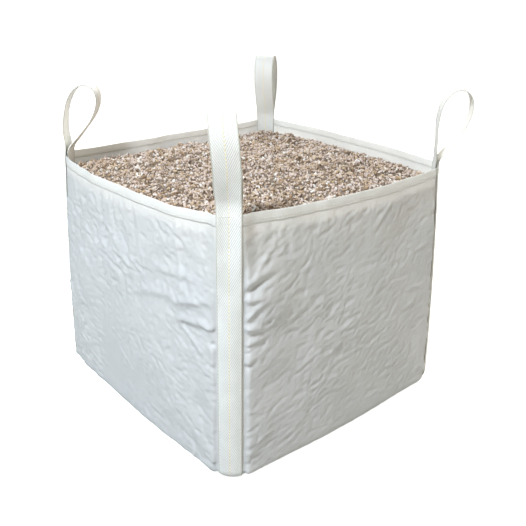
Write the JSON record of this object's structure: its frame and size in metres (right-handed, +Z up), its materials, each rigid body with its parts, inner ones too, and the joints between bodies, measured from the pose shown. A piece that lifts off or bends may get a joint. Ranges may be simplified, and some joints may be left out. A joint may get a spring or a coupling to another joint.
{
  "type": "bulk bag",
  "caption": "Square woven bulk bag on its base, filled with gravel, with webbing down each corner that rises into swinging lifting loops.",
  "frame": {"origin": "centre of the underside of the base panel, on the floor", "axes": "+Z up; -Y out of the front panel; -X out of the left panel; the four corners are at the plan diagonals"},
  "size_m": [1.0075, 1.0234, 1.0188],
  "materials": {
    "panel_fabric": "woven polypropylene tape, white with a slight sheen",
    "hem_fabric": "folded and stitched woven polypropylene, white",
    "webbing": "white herringbone webbing with a pale yellow marker yarn down its middle",
    "thread": "off-white sewing thread",
    "gravel": "loose angular gravel of about 6 mm, pinkish beige with grey and dark grains"
  },
  "bodies": {
    "bag": {"base_panel": "panel_fabric", "base_seam": "thread", "front_panel": "panel_fabric", "right_panel": "panel_fabric", "back_panel": "panel_fabric", "left_panel": "panel_fabric", "front_hem": "hem_fabric", "right_hem": "hem_fabric", "back_hem": "hem_fabric", "left_hem": "hem_fabric", "front_hem_stitching": "thread", "right_hem_stitching": "thread", "back_hem_stitching": "thread", "left_hem_stitching": "thread", "front_left_strap": "webbing", "front_left_inner_leg": "webbing", "front_left_stitching_left": "thread", "front_left_stitching_right": "thread", "front_left_bar_tack": "thread", "front_right_strap": "webbing", "front_right_inner_leg": "webbing", "front_right_stitching_left": "thread", "front_right_stitching_right": "thread", "front_right_bar_tack": "thread", "back_right_strap": "webbing", "back_right_inner_leg": "webbing", "back_right_stitching_left": "thread", "back_right_stitching_right": "thread", "back_right_bar_tack": "thread", "back_left_strap": "webbing", "back_left_inner_leg": "webbing", "back_left_stitching_left": "thread", "back_left_stitching_right": "thread", "back_left_bar_tack": "thread", "gravel_load": "gravel"},
    "front_left_loop": {"front_left_lift_loop": "webbing"},
    "front_right_loop": {"front_right_lift_loop": "webbing"},
    "back_right_loop": {"back_right_lift_loop": "webbing"},
    "back_left_loop": {"back_left_lift_loop": "webbing"}
  },
  "joints": [
    {"name": "front_left_loop_swing", "type": "hinge", "parent": "bag", "child": "front_left_loop", "pos_m": [-0.4379, -0.4606, 0.79], "axis": [0.6748, -0.738, 0], "range_deg": [-87, 113]},
    {"name": "front_right_loop_swing", "type": "hinge", "parent": "bag", "child": "front_right_loop", "pos_m": [0.4132, -0.4266, 0.769], "axis": [0.7034, 0.7108, 0], "range_deg": [-100, 100]},
    {"name": "back_right_loop_swing", "type": "hinge", "parent": "bag", "child": "back_right_loop", "pos_m": [0.4298, 0.4266, 0.781], "axis": [-0.6818, 0.7315, 0], "range_deg": [-88, 112]},
    {"name": "back_left_loop_swing", "type": "hinge", "parent": "bag", "child": "back_left_loop", "pos_m": [-0.4056, 0.4606, 0.761], "axis": [-0.6952, -0.7188, 0], "range_deg": [-61, 139]}
  ]
}
